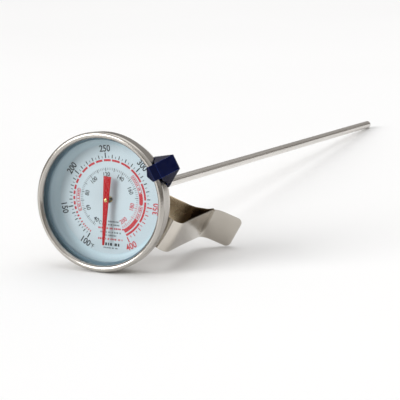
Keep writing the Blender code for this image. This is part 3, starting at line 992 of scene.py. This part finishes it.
def swept_strip(name, path, corner_radius, at_start):
    """Sweep the strip's rounded section along a path. One end has round corners."""
    lengths = lengths_along(path)
    total = lengths[-1]
    half_sheet = CLIP_SHEET / 2
    edge = 0.16 * MM
    bm = bmesh.new()
    rings = []
    for index, (point, length) in enumerate(zip(path, lengths)):
        before = path[max(index - 1, 0)]
        after = path[min(index + 1, len(path) - 1)]
        along = (after - before).normalized()
        across_sheet = Vector((-along.y, along.x))
        from_end = length if at_start else total - length
        half = CLIP_WIDTH / 2
        if from_end < corner_radius:
            rest = corner_radius - max(from_end, BLUNT * corner_radius)
            half += math.sqrt(corner_radius ** 2 - rest ** 2) - corner_radius
        thin = END_SHARE if from_end < 1e-9 else 1.0
        section = []
        for side_y, side_t, start in ((1, 1, 90), (-1, 1, 180), (-1, -1, 270), (1, -1, 0)):
            centre = (side_y * (half - edge), side_t * (half_sheet - edge))
            section += arc(centre, edge, start - (90 if side_y * side_t > 0 else 0), start
                           + (0 if side_y * side_t > 0 else 90), 3)
        ring = []
        for y, offset in section:
            place = point + across_sheet * offset * thin
            ring.append(bm.verts.new((place.x, y, place.y)))
        rings.append(ring)
    for first, second in zip(rings, rings[1:]):
        for index in range(len(first)):
            after = (index + 1) % len(first)
            bm.faces.new((first[index], first[after], second[after], second[index]))
    bm.faces.new(rings[0])
    bm.faces.new(rings[-1])
    return mesh_from(bm, name, 40)


def end_stations(path, corner_radius, at_start):
    """Crowd a path's points near its round end, so that the corners are smooth."""
    points = list(path) if at_start else list(reversed(path))
    lengths = lengths_along(points)
    wanted = [0.0, 0.02 * corner_radius]
    for index in range(1, 11):
        wanted.append(corner_radius * (1 - math.cos(math.radians(9 * index))))
    kept = [(length, point) for point, length in zip(points, lengths)
            if length > corner_radius * 1.02]
    for want in wanted:
        for spot in range(1, len(points)):
            if lengths[spot] >= want:
                part = (want - lengths[spot - 1]) / (lengths[spot] - lengths[spot - 1])
                kept.append((want, points[spot - 1].lerp(points[spot], part)))
                break
    kept.sort(key=lambda entry: entry[0])
    ordered = [kept[0]]
    for entry in kept[1:]:
        if entry[0] - ordered[-1][0] > 1e-6:
            ordered.append(entry)
    result = [point for length, point in ordered]
    return result if at_start else list(reversed(result))


def cut(obj, outline, z_low, z_high, axes):
    """Cut an outline of (x, y) through an object, along Z of the given axes."""
    bm = bmesh.new()
    add_prism(bm, outline, z_low, z_high)
    cutter = link("cutter", mesh_from(bm, "cutter"))
    cutter.matrix_world = INSTRUMENT @ axes
    hole = obj.modifiers.new("hole", "BOOLEAN")
    hole.operation = "DIFFERENCE"
    hole.object = cutter
    result = evaluated_mesh(obj)
    obj.modifiers.clear()
    obj.data = result
    bpy.data.objects.remove(cutter)
    result.shade_smooth()
    result.set_sharp_from_angle(angle=math.radians(40))


def store_place(obj, name):
    """Store each vertex's place in the object's axes, so that a texture stays on the
    metal of a piece that bends."""
    places = obj.data.attributes.new(name, "FLOAT_VECTOR", "POINT")
    for vertex, entry in zip(obj.data.vertices, places.data):
        entry.vector = vertex.co


def build_clip(material, inner_material):
    """One bent strip in two pieces: the leaf with the tail, and the sprung leaf."""
    axes = clip_axes()
    apex = Vector(CLIP_APEX)
    to_plate = (Vector(CLIP_PLATE) - apex).normalized()
    split = apex + to_plate * CLIP_SPLIT
    leaf = filleted([*LEAF_CORNERS, (split.x, split.y, 0)])
    leaf = end_stations(resample(leaf, STATION), TAIL_CORNER, True)
    outer = add("clip_leaf", swept_strip("clip_leaf", leaf, TAIL_CORNER, True), material, axes)
    passage = 2.3 * MM
    round_hole = arc((0, 0), passage, 0, 352.5, 47)
    cut(outer, round_hole, 0.0, CLIP_CUT_Z, axes)
    finish_piece(outer, "clip", "clip_steel", "clip_frame")

    spring = filleted([(split.x, split.y, 0), *SPRING_CORNERS])
    spring = end_stations(resample(spring, STATION), LIP_CORNER, False)
    inner = add("clip_spring", swept_strip("clip_spring", spring, LIP_CORNER, False),
                inner_material, axes)
    slot_end = arc((1.6 * MM, 0), passage, -90, 90, 24)
    slot_start = arc((-0.2 * MM, 0), passage, 90, 270, 24)
    slot_depth = 18.0 * MM
    cut(inner, slot_end + slot_start, CLIP_CUT_Z, CLIP_CUT_Z + slot_depth, axes)
    store_place(inner, STRIP_PLACE)
    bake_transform(inner)
    finish_piece(inner, None, "clip_steel", "clip_jaw")


# --- studio ------------------------------------------------------------------

def build_floor():
    bm = bmesh.new()
    bmesh.ops.create_grid(bm, x_segments=1, y_segments=1, size=4.0)
    floor = link("floor", mesh_from(bm, "floor"))
    floor.location.z = cad_low.z - 0.1 * MM
    floor.data.materials.append(floor_paint())


def softbox(name, place, aim, width, power):
    """A square light that faces a point."""
    light = bpy.data.lights.new(name, "AREA")
    light.shape = "SQUARE"
    light.size = width
    light.energy = power
    obj = link(name, light)
    obj.location = place
    direction = Vector(aim) - Vector(place)
    obj.rotation_euler = direction.to_track_quat("-Z", "Y").to_euler()


def sun(name, towards, strength, breadth):
    """A soft light from far away, even over the floor. Its breadth is in degrees."""
    light = bpy.data.lights.new(name, "SUN")
    light.energy = strength
    light.angle = math.radians(breadth)
    obj = link(name, light)
    obj.rotation_euler = Vector(towards).to_track_quat("Z", "Y").to_euler()


def build_world():
    """A soft room: darker near the horizon, bright above."""
    world = bpy.data.worlds.new("studio")
    bpy.context.scene.world = world
    world.use_nodes = True
    nodes = world.node_tree.nodes
    links = world.node_tree.links
    place = nodes.new("ShaderNodeTexCoord")
    parts = nodes.new("ShaderNodeSeparateXYZ")
    ramp = nodes.new("ShaderNodeValToRGB")
    links.new(place.outputs["Generated"], parts.inputs[0])
    links.new(parts.outputs[2], ramp.inputs[0])
    stops = ramp.color_ramp.elements
    stops[0].position = 0.0
    stops[0].color = (0.15, 0.135, 0.12, 1)
    stops[1].position = 0.30
    stops[1].color = (0.40, 0.385, 0.37, 1)
    top = stops.new(0.75)
    top.color = (0.75, 0.75, 0.75, 1)
    links.new(ramp.outputs[0], nodes["Background"].inputs["Color"])
    nodes["Background"].inputs["Strength"].default_value = 1.0


def build_camera():
    side = math.radians(VIEW_SIDE)
    above = math.radians(VIEW_ABOVE)
    forward = Vector((-math.sin(side) * math.cos(above), math.cos(side) * math.cos(above),
                      -math.sin(above)))
    right = forward.cross(Vector((0, 0, 1))).normalized()
    up = right.cross(forward)
    aim = INSTRUMENT.translation + right * VIEW_RIGHT - up * VIEW_BELOW
    camera = bpy.data.cameras.new("camera")
    camera.lens = LENS_LENGTH
    camera.sensor_width = SENSOR_WIDTH
    camera.clip_start = 0.01
    obj = link("camera", camera)
    axes = Matrix((right, up, -forward)).transposed().to_4x4()
    axes.translation = aim - forward * VIEW_DISTANCE
    obj.matrix_world = axes
    bpy.context.scene.camera = obj


def build_studio():
    build_floor()
    build_world()
    build_camera()
    centre = (cad_low + cad_high) / 2
    sun("key", (-0.58, -0.82, 0.44), 2.4, 32)
    softbox("top", centre + Vector((0.1, 0.3, 1.6)), centre, 1.4, 6)
    bpy.context.scene.view_settings.view_transform = "Standard"


# --- assembly ----------------------------------------------------------------

def dress(node, material):
    """Give a CAD node that stays in view its material."""
    slots = frame["nodes"][node].data.materials
    slots.clear()
    slots.append(material)


def build_all():
    polished = polished_steel()
    spun = spun_steel()
    drawn = drawn_steel()
    strip = bright_steel()
    painted_reflection_finish = tinted_steel()
    brass = plain_metal("turned_brass", (0.62, 0.44, 0.17), (0.72, 0.53, 0.22), 0.22, 0.36)
    steel = plain_metal("turned_steel", (0.40, 0.40, 0.40), (0.48, 0.48, 0.47), 0.3, 0.45)
    bimetal = plain_metal("bimetal", (0.46, 0.38, 0.32), (0.54, 0.46, 0.39), 0.3, 0.42)
    build_bezel(polished)
    build_case(spun)
    build_collar(steel)
    build_face(dial_paint(), wall_paint(), clear_lens())
    build_print(ink("black_ink", (0.012, 0.012, 0.014), (0.04, 0.045, 0.05)),
                ink("grey_ink", (0.10, 0.11, 0.12), (0.18, 0.20, 0.21)),
                ink("red_ink", (0.52, 0.01, 0.02), (0.56, 0.03, 0.04)))
    build_pointer(needle_paint(), brass, steel)
    build_probe(drawn)
    build_marker(marker_plastic(), marker_edge_plastic())
    build_clip(strip, painted_reflection_finish)
    dress("lens_gasket", rubber())
    dress("bimetal_coil", bimetal)
    for node in ("dial_seat_ring", "coil_anchor"):
        dress(node, steel)
    for node in ("shaft_bush_front", "shaft_bush_middle", "shaft_bush_rear", "coil_collar"):
        dress(node, brass)


build_all()
build_studio()
